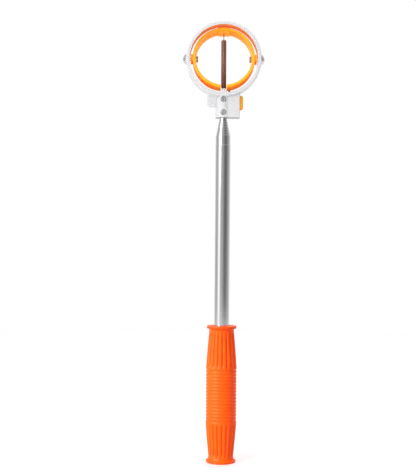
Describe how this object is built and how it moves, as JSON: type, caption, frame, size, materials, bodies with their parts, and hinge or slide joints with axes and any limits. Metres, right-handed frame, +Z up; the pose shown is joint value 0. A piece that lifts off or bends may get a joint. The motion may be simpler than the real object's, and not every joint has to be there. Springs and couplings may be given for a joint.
{
  "type": "telescopic golf ball retriever",
  "caption": "Collapsed telescopic steel pole with a fluted grip and a white hoop that holds a tilting, spring-tripped catch ring for a golf ball, with a thumb-button latch.",
  "frame": {"origin": "centre of the grip's end face, which the collapsed retriever stands on", "axes": "+Z up the pole to the head, -Y the front of the head with the cover screws, +X the thumb button's side"},
  "size_m": [0.0652, 0.0246, 0.3516],
  "materials": {
    "grip_rubber": "satin moulded orange rubber",
    "tube_steel": "bright drawn stainless steel",
    "spring_bronze": "bronze strip",
    "plug_plastic": "black plastic",
    "hoop_white": "glossy white moulding",
    "liner_orange": "dark orange plastic",
    "ring_orange": "glossy orange plastic",
    "screw_steel": "dull steel",
    "pivot_nickel": "dull nickel-plated dome",
    "nut_brown": "browned steel",
    "spring_copper": "copper-coated spring wire"
  },
  "bodies": {
    "handle": {"grip": "grip_rubber", "tube_end_plug": "plug_plastic", "tube_1": "tube_steel"},
    "section_2": {"tube_2": "tube_steel", "friction_spring_2": "spring_bronze"},
    "section_3": {"tube_3": "tube_steel", "friction_spring_3": "spring_bronze"},
    "section_4": {"tube_4": "tube_steel", "friction_spring_4": "spring_bronze"},
    "section_5": {"tube_5": "tube_steel", "friction_spring_5": "spring_bronze"},
    "section_6": {"tube_6": "tube_steel", "friction_spring_6": "spring_bronze"},
    "section_7": {"tube_7": "tube_steel", "friction_spring_7": "spring_bronze"},
    "section_8": {"tube_8": "tube_steel", "friction_spring_8": "spring_bronze", "tube_spigot": "plug_plastic", "hoop": "hoop_white", "hoop_liner": "liner_orange", "housing_cover": "hoop_white", "cover_screw_upper": "screw_steel", "cover_screw_lower": "screw_steel", "pivot_screw_left": "pivot_nickel", "pivot_screw_right": "pivot_nickel", "pivot_nut_left": "nut_brown", "pivot_nut_right": "nut_brown", "latch_spring": "screw_steel"},
    "catch_ring": {"catch_ring": "ring_orange"},
    "trip_spring": {"trip_spring": "spring_copper"},
    "release_button": {"release_button": "ring_orange"},
    "latch_bolt": {"latch_bolt": "plug_plastic"}
  },
  "joints": [
    {"name": "tube_2_slide", "type": "slide", "parent": "handle", "child": "section_2", "axis": [0, 0, 1], "range_m": [0, 0.2325]},
    {"name": "tube_3_slide", "type": "slide", "parent": "section_2", "child": "section_3", "axis": [0, 0, 1], "range_m": [0, 0.232]},
    {"name": "tube_4_slide", "type": "slide", "parent": "section_3", "child": "section_4", "axis": [0, 0, 1], "range_m": [0, 0.2255]},
    {"name": "tube_5_slide", "type": "slide", "parent": "section_4", "child": "section_5", "axis": [0, 0, 1], "range_m": [0, 0.219]},
    {"name": "tube_6_slide", "type": "slide", "parent": "section_5", "child": "section_6", "axis": [0, 0, 1], "range_m": [0, 0.213]},
    {"name": "tube_7_slide", "type": "slide", "parent": "section_6", "child": "section_7", "axis": [0, 0, 1], "range_m": [0, 0.2065]},
    {"name": "tube_8_slide", "type": "slide", "parent": "section_7", "child": "section_8", "axis": [0, 0, 1], "range_m": [0, 0.2]},
    {"name": "catch_ring_tilt", "type": "hinge", "parent": "section_8", "child": "catch_ring", "pos_m": [0, 0, 0.3216], "axis": [-1, 0, 0], "range_deg": [0, 81]},
    {"name": "trip_spring_hinge", "type": "hinge", "parent": "section_8", "child": "trip_spring", "pos_m": [0, -0.00599, 0.29702], "axis": [-1, 0, 0], "range_deg": [0, 40.5], "deforming": ["trip_spring"]},
    {"name": "release_button_slide", "type": "slide", "parent": "section_8", "child": "release_button", "axis": [-1, 0, 0], "range_m": [0, 0.002], "stiffness_N_per_m": 400, "springref_m": -0.002},
    {"name": "latch_bolt_slide", "type": "slide", "parent": "section_8", "child": "latch_bolt", "axis": [0, 0, -1], "range_m": [0, 0.002], "deforming": ["latch_spring"]}
  ],
  "couplings": [
    {"joint": "trip_spring_hinge", "follows": "catch_ring_tilt", "ratio": 0.5},
    {"joint": "latch_bolt_slide", "follows": "release_button_slide", "ratio": 1}
  ]
}
